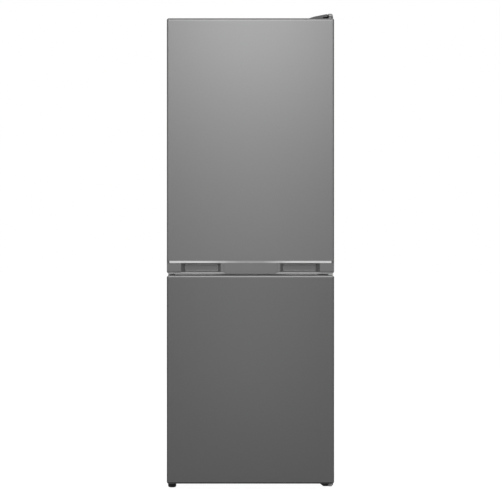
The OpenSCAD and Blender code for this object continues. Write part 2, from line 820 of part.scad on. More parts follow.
// Housing of the light switch on the right wall
module switch_housing() {
  color("whitesmoke") difference() {
    along_z(z_switch - 15, z_switch + 15)
      rounded([in_hw - 12, y_cab + 5], [in_hw, y_cab + 35], [2, 0, 0, 4]);
    bar_y(y_cab + 4, y_cab + 34, in_hw - 6, z_switch, 4 + pin_fit);
  }
}

// Plunger of the light switch, pressed by the closed door
module switch_plunger() {
  color("white") {
    bar_y(y_seal + seat + 2, y_cab + 22, in_hw - 6, z_switch, 4);
    bar_y(y_seal + seat, y_seal + seat + 2, in_hw - 6, z_switch, 3);
  }
}

// Freezer inside

// A shelf of evaporator tube that carries a drawer
module evaporator(z) {
  y0 = y_cab + 70;
  runs = floor((y_zi - 25 - y0) / evap_pitch) + 1;
  x = in_hw - 8;
  color("lightgray") tube(to_and_fro([-x, y0, z], [x, y0, z], [0, evap_pitch, 0], runs),
                          evap_r, evap_pitch / 2 - 1);
}
module lower_evaporator() {
  evaporator(z_evap1);
}
module upper_evaporator() {
  evaporator(z_evap2);
}

// Freezer drawer: a tub behind a front panel with a grip cut-out
module freezer_drawer(z0, h, y1) {
  y0 = y_cab + drawer_back;
  x = drawer_hw;
  w = drawer_wall;
  color("lightblue") difference() {
    union() {
      along_y(y0, y0 + drawer_front) rounded([-x, z0], [x, z0 + h], [8, 8, 8, 8]);
      along_z(z0, z0 + h - 14) rounded([4 - x, y0 + 2], [x - 4, y1], [0, 0, tub_r, tub_r]);
    }
    along_z(z0 + w, z0 + h + 1)
      rounded([4 - x + w, y0 + drawer_front], [x - 4 - w, y1 - w], [0, 0, tub_r - w, tub_r - w]);
    along_y(y0 - 1, y0 + drawer_front + 1)
      rounded([-drawer_grip_w / 2, z0 + h - drawer_grip_h], [drawer_grip_w / 2, z0 + h + 1],
              [12, 12, 0, 0]);
  }
}
module top_drawer() {
  z = z_evap2 + evap_r + seat;
  freezer_drawer(z, z_zi1 - 7 - z, y_zi - 12);
}
module middle_drawer() {
  z = z_evap1 + evap_r + seat;
  freezer_drawer(z, z_evap2 - evap_r - drawer_gap - z, y_zi - 12);
}
module bottom_drawer() {
  z = z_zi0 + seat;
  freezer_drawer(z, z_evap1 - evap_r - drawer_gap - z, y_step - 6);
}

// Cooling unit

// Hermetic compressor: a welded shell on a foot plate, with two stubs for the pipes
module compressor() {
  r = compressor_r;
  z0 = z_comp + 3;
  color("black") {
    translate([compressor_x, comp_y, 0]) rotate_extrude() intersection() {
      union() {
        rounded([-r, z0], [r, z0 + compressor_h], [30, 30, 38, 38]);
        rounded([-r - 4, z0 + compressor_h * 0.6], [r + 4, z0 + compressor_h * 0.6 + 5],
                [2, 2, 2, 2]);
      }
      translate([0, z0]) square([r + 5, compressor_h]);
    }
    along_z(z_comp, z0)
      rounded([compressor_x - comp_foot_w / 2, comp_y - comp_foot_d / 2],
              [compressor_x + comp_foot_w / 2, comp_y + comp_foot_d / 2], [14, 14, 14, 14]);
    bar_x(compressor_x + r - 8, compressor_x + r + 6, comp_y, z0 + 60, 4.5);
    bar_x(compressor_x - r, compressor_x - 50, comp_y + 40, z0 + 45, 4.5);
  }
}

// Box of the starter and the overload switch, on the compressor's left
module starter_box() {
  x = compressor_x - compressor_r;
  color("black") difference() {
    along_z(z_comp + 18, z_comp + 74)
      rounded([x - 34, comp_y - 32], [x + 14, comp_y + 22], [5, 0, 0, 5]);
    bar_z(z_comp, z_comp + 90, compressor_x, comp_y, compressor_r + seat);
    bar_z(z_comp + 3 + compressor_h * 0.6 - 1, z_comp + 90, compressor_x, comp_y,
          compressor_r + 4 + seat);
  }
}

// Rubber mounts under the foot plate
module compressor_mounts() {
  color("dimgray") for (x = [-1, 1], y = [-1, 1])
    translate([compressor_x + x * bolt_x, comp_y + y * bolt_y, z_rail + 2]) {
      cylinder(h = mount_h, r = 9);
      translate([0, 0, mount_h / 3]) cylinder(h = 6, r = 11);
    }
}

// Tray that collects the defrost water on top of the compressor
module evaporation_tray() {
  z0 = z_comp1 + seat;
  x = tray_w / 2;
  y = tray_d / 2;
  color("dimgray") translate([compressor_x, comp_y, 0]) difference() {
    along_z(z0, z0 + tray_h) rounded([-x, -y], [x, y], [14, 14, 14, 14]);
    along_z(z0 + 2, z0 + tray_h + 1) rounded([-x + 2, -y + 2], [x - 2, y - 2], [12, 12, 12, 12]);
  }
}

// Condenser tube, running to and fro behind the rear panel from the top down
module condenser_tube() {
  top = [[cond_hw - 17, cond_y, z_cond1]];
  runs = to_and_fro([cond_hw, cond_y, z_cond1], [-cond_hw, cond_y, z_cond1],
                    [0, 0, -cond_pitch], cond_runs);
  middle = [for (i = [1:len(runs) - 2]) runs[i]];
  color("black") tube(concat(top, middle, [[drier_x + 16, cond_y, z_cond]]),
                      cond_r, cond_pitch / 2 - 2);
}

// Wires welded across the tube's runs, on both sides
module condenser_wires() {
  count = floor((cond_hw - 34) / wire_pitch);
  off = cond_r + wire_r + 0.1;
  color("black") for (i = [-count:count], s = [-1, 1])
    bar_z(z_cond - wire_end, z_cond1 + wire_end, i * wire_pitch, cond_y + s * off, wire_r);
}

// Filter drier in the line after the condenser
module filter_drier() {
  color("peru") translate([drier_x, cond_y, z_drier]) rotate_extrude() intersection() {
    rounded([-drier_r, 0], [drier_r, drier_h], [6, 6, 6, 6]);
    square([drier_r, drier_h]);
  }
}

// Pipes between the compressor, the condenser, the drier and the evaporators
module refrigerant_pipes() {
  z0 = z_comp + 3;
  out = [compressor_x + compressor_r + 6, comp_y, z0 + 60];
  in = [compressor_x - compressor_r, comp_y + 40, z0 + 45];
  side = hw - 22;
  dry = [drier_x, cond_y, z_cond];
  color("peru") {
    tube([out, [side, out[1], out[2]], [side, cond_y, out[2]], [side, cond_y, z_cond1],
          [cond_hw - 17, cond_y, z_cond1]], pipe_r, 13);
    tube([in, [in[0] - 30, in[1], in[2]], [in[0] - 30, in[1], z_rec]], pipe_r, 13);
    tube([dry + [16, 0, 0], dry, [drier_x, cond_y, z_drier + drier_h]], cond_r, 13);
    tube([[drier_x, cond_y, z_drier], [drier_x, cond_y, z_drier - 25],
          [drier_x, y_wall - 30, z_drier - 25], [drier_x, y_wall - 30, z_rec]], 1.5, 12);
  }
}

// Doors

// The outer form of a door between two heights, shrunk by g except at its back
module door_block(z0, z1, g) {
  e = max(edge_r - g, 0);
  c = max(corner_r - g, 0);
  l = max(lip_r - g, 0);
  intersection() {
    along_z(z0 + g, z1 - g) rounded([-hw + g, y_front + g], [hw - g, y_seal], [e, e, 0, 0]);
    along_y(y_front - 1, y_seal + 1) rounded([-hw + g, z0 + g], [hw - g, z1 - g], [c, c, c, c]);
    along_x(-hw - 1, hw + 1)
      rounded([y_front + g, z0 + g], [y_seal + 1, z1 - g], [l, 0, 0, l]);
  }
}

// The part of a door's form between two heights of its own
module door_slice(z0, z1, g, low, high, back) {
  intersection() {
    door_block(z0, z1, g);
    box([-hw - 1, y_front - 1, low], [hw + 1, back, high]);
  }
}

// Painted sheet of a door: front, sides and short returns at the back
module door_skin(z0, z1, low, high) {
  color("silver") {
    difference() {
      door_slice(z0, z1, 0, low, high, y_seal);
      along_z(low - 1, high + 1)
        rounded([-hw + sheet_t, y_front + sheet_t], [hw - sheet_t, y_seal + 1],
                [edge_r - sheet_t, edge_r - sheet_t, 0, 0]);
    }
    both_sides()
      box([hw - skin_ret, y_seal - sheet_t, low], [hw - sheet_t / 2, y_seal, high]);
  }
}

// End cap of a door with the plug that fits inside the skin; side is 1 at the top
module end_cap(z0, z1, side) {
  edge = side > 0 ? z1 - cap_h : z0 + cap_h;
  color("silver") {
    door_slice(z0, z1, 0, min(edge, edge + side * 2 * cap_h), max(edge, edge + side * 2 * cap_h),
               y_seal);
    door_slice(z0, z1, plug_in, min(edge, edge - side * plug_h), max(edge, edge - side * plug_h),
               y_plug);
  }
}

// The ridge round a door's inner side, shrunk by g
module ridge(z0, z1, d, g) {
  r = 8;
  h = cavity_r - 8;
  root = g > 0 ? (y_seal - liner_t + y_plug) / 2 : y_seal - liner_t;
  difference() {
    intersection() {
      along_z(z0, z1)
        rounded([-ridge_hw + g, root], [ridge_hw - g, y_seal + d - g], [0, 0, r - g, r - g]);
      along_x(-hw, hw)
        rounded([root - 1, z0 + g], [y_seal + d - g, z1 - g], [0, r - g, r - g, 0]);
      along_y(root - 2, y_seal + d + 1)
        rounded([-ridge_hw + g, z0 + g], [ridge_hw - g, z1 - g],
                [cavity_r - g, cavity_r - g, cavity_r - g, cavity_r - g]);
    }
    along_y(y_seal - g, y_seal + d + 1)
      rounded([-hole_hw - g, z0 + ridge_w - g], [hole_hw + g, z1 - ridge_w + g],
              [h + g, h + g, h + g, h + g]);
  }
}

// Vacuum-formed inner side of a door
module door_liner(low, high, z0, z1, d) {
  color("white") difference() {
    union() {
      box([-hw + skin_ret + seat, y_seal - liner_t, low], [hw - skin_ret - seat, y_seal, high]);
      ridge(z0, z1, d, 0);
    }
    ridge(z0, z1, d, liner_t);
  }
}

// Foam of a door, which also fills its ridge
module door_foam(z0, z1, low, high, r0, r1, d) {
  color("khaki") {
    door_slice(z0, z1, sheet_t, low, high, y_seal - liner_t);
    ridge(r0, r1, d, liner_t);
  }
}

// One ring of a gasket, between y0 and y1, set in from its outer edge
module seal_ring(z0, z1, in, w, y0, y1) {
  r = 6;
  difference() {
    along_y(y0, y1)
      rounded([-hw + in, z0 + in], [hw - in, z1 - in], [r, r, r, r]);
    along_y(y0 - 1, y1 + 1)
      rounded([-hw + in + w, z0 + in + w], [hw - in - w, z1 - in - w], [0, 0, 0, 0]);
  }
}

// Magnetic gasket: a foot on the liner, a narrow bellows and the magnet strip
module gasket(z0, z1) {
  color("lightgray") {
    seal_ring(z0, z1, gasket_in + 1, gasket_w - 3, y_seal, y_seal + 2);
    seal_ring(z0, z1, gasket_in + 4, gasket_w - 9, y_seal + 2, y_cab - 4);
    seal_ring(z0, z1, gasket_in, gasket_w, y_cab - 4, y_cab - seat);
  }
}

module fridge_door_skin() {
  door_skin(z_frg0, z_frg1, frg_low, frg_high);
}
module fridge_door_cap() {
  difference() {
    end_cap(z_frg0, z_frg1, 1);
    bar_z(z_frg1 - pin_depth - 1, z_frg1 + 1, pin_x, pin_y, pin_r + pin_fit);
  }
}

// Cut of one finger pocket, on the left: it narrows inwards and hooks up behind the bevel
module pocket_cut() {
  yf = y_front;
  z = z_frg0;
  x = -hw + pocket_side;
  intersection() {
    along_x(-hw, hw)
      polygon([[yf - 1, z + skirt_drop - 1], [yf + 12, z + skirt_drop - 1],
               [yf + pocket_d, z + skirt_drop + 4], [yf + pocket_d, z + grip_h - 3],
               [yf + pocket_d - 8, z + grip_h + 4], [yf + 8, z + grip_h + 4],
               [yf + grip_setback + 2, z + grip_h], [yf - 1, z + grip_h]]);
    along_z(z - 1, z + trim_h)
      polygon([[x, yf + grip_setback], [x, yf - 2], [x + pocket_w + 11, yf - 2],
               [x + pocket_w + 11, yf + grip_setback], [x + pocket_w + 1, yf + grip_setback + 5],
               [x + pocket_w - 10, yf + pocket_d + 1], [x + 14, yf + pocket_d + 1]]);
  }
}

// Cut under one end of the grip band, beside the lower skirt, leaving an inner lip
module skirt_cut() {
  x = -hw + pocket_side + pocket_w + 11;
  intersection() {
    along_x(-hw - 1, 0)
      polygon([[y_front - 1, z_frg0 - 1], [y_front + lip_in, z_frg0 - 1],
               [y_front + lip_in, z_frg0 + 0.8], [y_front + lip_in + 2, z_frg0 + skirt_drop],
               [y_front - 1, z_frg0 + skirt_drop]]);
    along_y(y_front - 2, y_front + 20)
      polygon([[-hw - 1, z_frg0 - 2], [x + 8, z_frg0 - 2], [x + 7, z_frg0],
               [x, z_frg0 + skirt_drop], [-hw - 1, z_frg0 + skirt_drop]]);
  }
}

// Moulded grip at the fridge door's bottom: bright bevel, band, two finger pockets, skirt and
// the recess of the middle hinge
module fridge_door_grip() {
  z = z_frg0;
  yf = y_front;
  color("gray") {
    difference() {
      door_slice(z, z_frg1, 0, z - 1, z + trim_h, y_seal);
      along_x(-hw - 1, hw + 1)
        polygon([[yf - 1, z - 1], [yf + grip_setback, z - 1], [yf + grip_setback, z + grip_h],
                 [yf, z + trim_h], [yf - 1, z + trim_h]]);
      both_sides() {
        pocket_cut();
        skirt_cut();
      }
      box([-hw + skin_ret, y_plug, z + grip_rim], [hw - skin_ret, y_seal + 1, z + trim_h + 1]);
      box([pin_x - notch_w, yf + lip_back, z - 1], [hw + 1, y_seal + 1, z + skirt_drop]);
      bar_z(z - 1, z + skirt_drop + pin_depth + 1, pin_x, pin_y, pin_r + pin_fit);
    }
    door_slice(z, z_frg1, plug_in, z + trim_h, z + trim_h + plug_h, y_plug);
  }
}
module fridge_door_foam() {
  door_foam(z_frg0, z_frg1, frg_low + plug_h, frg_high - plug_h, z_fi0 + ridge_gap,
            z_fi1 - ridge_gap, fridge_ridge_d);
}
module fridge_door_liner() {
  door_liner(z_frg0 + grip_rim + seat, frg_high - seat, z_fi0 + ridge_gap, z_fi1 - ridge_gap,
             fridge_ridge_d);
  color("white") for (z = bin_z) both_sides()
    box([hole_hw - 10, y_seal - liner_t / 2, z - 8], [hole_hw + liner_t / 2, y_seal + 28, z - seat]);
}
module fridge_door_gasket() {
  gasket(z_frg0, z_frg1);
}

// Open bin on the fridge door, with a thicker rim
module bin(i) {
  x = hole_hw - slide_gap - 1;
  z0 = bin_z[i];
  z1 = z0 + bin_h[i];
  y0 = y_seal + seat;
  y1 = y_seal + bin_d;
  w = bin_wall;
  r = bin_r;
  color("lightblue") difference() {
    union() {
      along_z(z0, z1) rounded([-x, y0], [x, y1], [3, 3, r, r]);
      along_z(z1 - 7, z1)
        rounded([-x - 1.5, y0], [x + 1.5, y1 + 1.5], [3, 3, r + 1.5, r + 1.5]);
    }
    along_z(z0 + w, z1 + 1) rounded([-x + w, y0 + w], [x - w, y1 - w], [1, 1, r - w, r - w]);
  }
}
module top_bin() {
  bin(2);
}
module middle_bin() {
  bin(1);
}
module bottle_bin() {
  bin(0);
}

module freezer_door_skin() {
  door_skin(z_frz0, z_frz1, frz_low, frz_high);
}

// Top cap of the freezer door, with two grip grooves behind its front edge
module freezer_door_cap() {
  difference() {
    end_cap(z_frz0, z_frz1, 1);
    bar_z(z_frz1 - pin_depth - 1, z_frz1 + 1, pin_x, pin_y, pin_r + pin_fit);
    both_sides() along_z(z_frz1 - 15, z_frz1 + 1)
      rounded([-hw + pocket_side, y_front + 9], [-hw + pocket_side + pocket_w, y_front + 30],
              [5, 5, 5, 5]);
  }
}
module freezer_door_foot_cap() {
  difference() {
    end_cap(z_frz0, z_frz1, -1);
    bar_z(z_frz0 - 1, z_frz0 + pin_depth + 1, pin_x, pin_y, pin_r + pin_fit);
  }
}
module freezer_door_foam() {
  door_foam(z_frz0, z_frz1, frz_low + plug_h, frz_high - plug_h, z_zi0 + ridge_gap,
            z_zi1 - ridge_gap, freezer_ridge_d);
}
module freezer_door_liner() {
  door_liner(frz_low + seat, frz_high - seat, z_zi0 + ridge_gap, z_zi1 - ridge_gap,
             freezer_ridge_d);
}
module freezer_door_gasket() {
  gasket(z_frz0, z_frz1);
}

cabinet_wrap();
rear_panel();
base_plate();
centre_rail();
cabinet_foam();
fridge_liner();
freezer_liner();
top_hinge();
top_hinge_cover();
middle_hinge();
bottom_hinge();
bottom_hinge_cover();
screws();
rear_spacers();
compressor_rail();
left_foot();
right_foot();
left_roller();
right_roller();
shelf_glass_1();
shelf_glass_2();
shelf_trim_1();
shelf_trim_2();
crisper_cover();
crisper_trim();
crisper_drawer();
control_housing();
lamp_cover();
lamp();
thermostat_knob();
switch_housing();
switch_plunger();
lower_evaporator();
upper_evaporator();
top_drawer();
middle_drawer();
bottom_drawer();
compressor();
starter_box();
compressor_mounts();
evaporation_tray();
condenser_tube();
condenser_wires();
filter_drier();
refrigerant_pipes();
fridge_door_skin();
fridge_door_cap();
fridge_door_grip();
fridge_door_foam();
fridge_door_liner();
fridge_door_gasket();
top_bin();
middle_bin();
bottle_bin();
freezer_door_skin();
freezer_door_cap();
freezer_door_foot_cap();
freezer_door_foam();
freezer_door_liner();
freezer_door_gasket();
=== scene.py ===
"""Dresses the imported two-door fridge-freezer and sets up its studio.

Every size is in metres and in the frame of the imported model: +Z is up and the door fronts face
-Y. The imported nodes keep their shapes. Small forms that only the eye needs, such as the gaskets'
bellows and the dial's marks, are built here.
"""
import logging
import math
from dataclasses import dataclass
from enum import Enum
from typing import Dict, List, Optional, Sequence, Tuple

import bpy
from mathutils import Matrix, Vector


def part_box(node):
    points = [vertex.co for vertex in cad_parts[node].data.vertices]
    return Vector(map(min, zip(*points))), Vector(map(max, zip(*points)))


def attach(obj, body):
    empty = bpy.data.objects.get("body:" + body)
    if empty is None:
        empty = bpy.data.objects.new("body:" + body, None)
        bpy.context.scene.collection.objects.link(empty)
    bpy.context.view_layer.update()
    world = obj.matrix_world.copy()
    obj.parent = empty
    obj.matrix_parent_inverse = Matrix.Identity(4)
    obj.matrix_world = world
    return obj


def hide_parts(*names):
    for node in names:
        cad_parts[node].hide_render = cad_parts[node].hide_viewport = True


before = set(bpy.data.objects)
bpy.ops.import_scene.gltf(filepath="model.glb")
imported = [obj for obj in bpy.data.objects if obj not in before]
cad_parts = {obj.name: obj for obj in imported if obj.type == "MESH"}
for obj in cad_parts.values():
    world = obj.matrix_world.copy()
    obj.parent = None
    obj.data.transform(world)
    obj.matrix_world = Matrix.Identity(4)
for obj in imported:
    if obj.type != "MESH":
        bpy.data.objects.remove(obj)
log = logging.getLogger("fridge")

Point = Tuple[float, float, float]
Span = Tuple[float, float]
Link = Tuple[bpy.types.Node, str]

# Drawn and rolled metal: how many times longer its lines are than wide
DRAWN_STRETCH = 40
# Greys between which a pattern's noise mostly lies
PATTERN_GREYS: Span = (0.25, 0.75)
# Share by which a finish's roughness varies with its pattern
ROUGHNESS_SPREAD = 0.1
# Moulded and rolled edges: steps of the rounding, and the angle that counts as an edge
EDGE_SEGMENTS = 2
EDGE_ANGLE_DEG = 40

# A distance past every piece, and the span that leaves a direction free
FAR = 3.0
ANYWHERE: Span = (-FAR, FAR)
# Bends at both sides of a door's front, where shade is painted darker on the sheets and caps
BEND_X: Span = (0.2659, FAR)
BEND_Y: Span = (-FAR, -0.2925)
# Lower lip of the freezer door, and its part over the bottom hinge's cover: painted shade on both
LOWER_LIP_Y: Span = (-FAR, -0.2400)
LOWER_LIP_Z: Span = (0.0200, 0.0285)
HINGE_END_X: Span = (0.2290, 0.2650)
HINGE_END_Z: Span = (0.0200, 0.0255)
# Upper lip of the freezer door, which carries a painted highlight
UPPER_LIP_Y: Span = (-FAR, -0.2900)
UPPER_LIP_Z: Span = (0.6895, 0.6960)
# The cabinet's front edge between the doors, where light is painted, and the middle of the rail's face,
# where shade is painted
STRIP_Y: Span = (-0.2410, -0.2380)
STRIP_Z: Span = (0.6940, 0.7010)
RAIL_MIDDLE_X: Span = (-FAR, 0.0900)
RAIL_FACE_Y: Span = (-0.2500, -0.2300)
# Bevel along the grip band's upper edge, with a painted highlight that is dimmer in its middle
BEVEL_X: Span = (-FAR, 0.2612)
BEVEL_MIDDLE_X: Span = (-FAR, 0.0400)
BEVEL_Y: Span = (-FAR, -0.2932)
BEVEL_Z: Span = (0.7346, 0.7424)
# Lip along the grip band's lower edge, with a painted highlight
LIP_X: Span = (-FAR, 0.2690)
LIP_Y: Span = (-0.2912, -0.2880)
LIP_Z: Span = (0.6990, 0.7064)
# A finger pocket, where shade and light are painted: the whole, its back between the walls, and the walls
POCKET_X: Span = (0.0900, 0.2300)
POCKET_Y: Span = (-0.2926, -0.2600)
POCKET_Z: Span = (0.7066, 0.7290)
POCKET_BACK_X: Span = (0.1070, 0.2110)
POCKET_TOP_Z: Span = (0.7270, 0.7400)
POCKET_FLOOR_Z: Span = (0.7054, 0.7115)
INNER_WALL_X: Span = (0.0855, 0.1070)
INNER_WALL_Y: Span = (-0.2932, -0.2730)
OUTER_WALL_X: Span = (0.2100, 0.2240)
OUTER_WALL_Y: Span = (-0.2926, -0.2730)
WALL_Z: Span = (0.7066, 0.7400)


def linear(hex_colour: str) -> Tuple[float, float, float, float]:
    """Turns an sRGB hex colour into linear light.

    Args:
        hex_colour: Six hex digits after a hash sign.

    Returns:
        Red, green, blue and an alpha of 1.
    """
    parts = [int(hex_colour[i:i + 2], 16) / 255 for i in (1, 3, 5)]
    lit = [c / 12.92 if c <= 0.04045 else ((c + 0.055) / 1.055) ** 2.4 for c in parts]
    return (lit[0], lit[1], lit[2], 1.0)


def add_node(tree: bpy.types.NodeTree, kind: str, values: Optional[dict] = None,
             links: Optional[Dict[object, Link]] = None) -> bpy.types.Node:
    """Adds one node with its settings and its links.

    Args:
        tree: The tree that the node goes into.
        kind: The node's type name.
        values: Properties, or inputs by name or number, and what they are set to.
        links: Inputs by name or number, each with the node and the output that feeds it.

    Returns:
        The new node.
    """
    node = tree.nodes.new(kind)
    for key, value in (values or {}).items():
        if isinstance(key, str) and hasattr(node, key):
            setattr(node, key, value)
        else:
            node.inputs[key].default_value = value
    for key, (source, output) in (links or {}).items():
        tree.links.new(source.outputs[output], node.inputs[key])
    return node


class Pattern(Enum):
    """How a finish's fine structure is laid out."""

    GRAIN = "moulded grain"
    PEEL = "sprayed or enamelled film"
    DRAWN = "drawn or rolled metal"
    SPANGLE = "hot-dip zinc crystals"
    CLEAR = "clear moulding"


@dataclass(frozen=True)
class Finish:
    """A real material and the way its surface was made."""

    name: str
    colour: str
    roughness: float
    pattern: Pattern
    grain_mm: float
    relief_mm: float = 0.0
    tone: float = 0.04
    metallic: float = 0.0
    ior: float = 1.5
    coat: float = 0.0
    coat_roughness: float = 0.2
    transmission: float = 0.0
    subsurface: float = 0.0

    def texture(self, tree: bpy.types.NodeTree) -> Link:
        """Adds the pattern in object space, at its size in millimetres.

        Args:
            tree: The material's node tree.

        Returns:
            A node and the output that carries a grey value round 0.5.
        """
        place = add_node(tree, "ShaderNodeTexCoord")
        rate = 1000.0 / self.grain_mm
        along = rate / DRAWN_STRETCH if self.pattern is Pattern.DRAWN else rate
        mapped = add_node(tree, "ShaderNodeMapping", {"Scale": (rate, rate, along)},
                          {"Vector": (place, "Object")})
        if self.pattern is Pattern.SPANGLE:
            cells = add_node(tree, "ShaderNodeTexVoronoi", {"Scale": 1.0}, {"Vector": (mapped, "Vector")})
            return (add_node(tree, "ShaderNodeSeparateColor", {}, {"Color": (cells, "Color")}), "Red")
        detail = 4.0 if self.pattern is Pattern.GRAIN else 2.0
        return (add_node(tree, "ShaderNodeTexNoise", {"Scale": 1.0, "Detail": detail, "Roughness": 0.55},
                         {"Vector": (mapped, "Vector")}), "Fac")

    def spread(self, tree: bpy.types.NodeTree, source: Link, low: float, high: float) -> Link:
        """Maps the pattern's grey onto a range.

        Args:
            tree: The material's node tree.
            source: The pattern's node and output.
            low: The value at the pattern's dark end.
            high: The value at its bright end.

        Returns:
            A node and the output with the mapped value.
        """
        dark, bright = PATTERN_GREYS
        return (add_node(tree, "ShaderNodeMapRange",
                         {"From Min": dark, "From Max": bright, "To Min": low, "To Max": high},
                         {"Value": source}), "Result")

    def base(self, tree: bpy.types.NodeTree, texture: Link) -> Link:
        """Varies the colour with the pattern.

        Args:
            tree: The material's node tree.
            texture: The pattern's node and output.

        Returns:
            A node and its colour output.
        """
        tint = add_node(tree, "ShaderNodeHueSaturation", {"Color": linear(self.colour)},
                        {"Value": self.spread(tree, texture, 1 - self.tone, 1 + self.tone)})
        return (tint, "Color")

    def build(self) -> bpy.types.Material:
        """Makes the material.

        Returns:
            The finished node material.
        """
        material = bpy.data.materials.new(self.name)
        material.use_nodes = True
        tree = material.node_tree
        tree.nodes.clear()
        texture = self.texture(tree)
        links = {"Base Color": self.base(tree, texture),
                 "Roughness": self.spread(tree, texture, self.roughness * (1 - ROUGHNESS_SPREAD),
                                          self.roughness * (1 + ROUGHNESS_SPREAD))}
        if self.relief_mm > 0:
            bump = add_node(tree, "ShaderNodeBump", {"Strength": 0.6, "Distance": self.relief_mm / 1000},
                            {"Height": texture})
            links["Normal"] = (bump, "Normal")
        shader = add_node(tree, "ShaderNodeBsdfPrincipled",
                          {"Metallic": self.metallic, "IOR": self.ior, "Coat Weight": self.coat,
                           "Coat Roughness": self.coat_roughness,
                           "Transmission Weight": self.transmission,
                           "Subsurface Weight": self.subsurface, "Subsurface Scale": 0.002}, links)
        add_node(tree, "ShaderNodeOutputMaterial", {}, {"Surface": (shader, "BSDF")})
        return material


@dataclass(frozen=True)
class Zone:
    """A part of a piece with another colour, alike left and right; here mostly painted light and shade.

    The span across counts from the middle, to either side. Beyond it the colour may fade out.
    """

    colour: str
    x: Span = ANYWHERE
    y: Span = ANYWHERE
    z: Span = ANYWHERE
    fade: float = 0.0

    def inside(self, tree: bpy.types.NodeTree, source: Link, limit: float, above: bool) -> Link:
        """Compares a coordinate with one of the zone's limits.

        Args:
            tree: The material's node tree.
            source: The coordinate's node and output.
            limit: The limit.
            above: Whether the zone lies above the limit.

        Returns:
            A node and the output that is 1 on the zone's side.
        """
        operation = "GREATER_THAN" if above else "LESS_THAN"
        return (add_node(tree, "ShaderNodeMath", {"operation": operation, 1: limit}, {0: source}), "Value")

    def faded(self, tree: bpy.types.NodeTree, source: Link, limit: float, above: bool) -> Link:
        """Fades the zone out beyond one of its limits.

        Args:
            tree: The material's node tree.
            source: The coordinate's node and output.
            limit: The limit.
            above: Whether the zone lies above the limit.

        Returns:
            A node and the output that falls from 1 at the limit to 0.
        """
        end = limit - self.fade if above else limit + self.fade
        return (add_node(tree, "ShaderNodeMapRange", {"From Min": end, "From Max": limit},
                         {"Value": source}), "Result")

    def mask(self, tree: bpy.types.NodeTree) -> Link:
        """Finds the zone in object space.

        Args:
            tree: The material's node tree.

        Returns:
            A node and the output that is 1 in the zone and 0 outside it.
        """
        place = add_node(tree, "ShaderNodeTexCoord")
        axes = add_node(tree, "ShaderNodeSeparateXYZ", {}, {0: (place, "Object")})
        away = add_node(tree, "ShaderNodeMath", {"operation": "ABSOLUTE"}, {0: (axes, "X")})
        found: Optional[Link] = None
        for source, span in (((away, "Value"), self.x), ((axes, "Y"), self.y), ((axes, "Z"), self.z)):
            compare = self.faded if self.fade > 0 and source[0] is away else self.inside
            for above, limit in zip((True, False), span):
                test = compare(tree, source, limit, above)
                found = test if found is None else (
                    add_node(tree, "ShaderNodeMath", {"operation": "MULTIPLY"}, {0: found, 1: test}),
                    "Value")
        return found


@dataclass(frozen=True)
class ZonedFinish(Finish):
    """A finish with zones of other colours, such as foil on a bevel, painted highlights and painted shade;
    later zones lie on top.
    """

    zones: Tuple[Zone, ...] = ()

    def base(self, tree: bpy.types.NodeTree, texture: Link) -> Link:
        """Adds the zones' colours to the finish's own.

        Args:
            tree: The material's node tree.
            texture: The pattern's node and output.

        Returns:
            A node and its colour output.
        """
        colour = super().base(tree, texture)
        for zone in self.zones:
            mix = add_node(tree, "ShaderNodeMix", {"data_type": "RGBA", 7: linear(zone.colour)},
                           {0: zone.mask(tree), 6: colour})
            colour = (mix, "Result")
        return colour


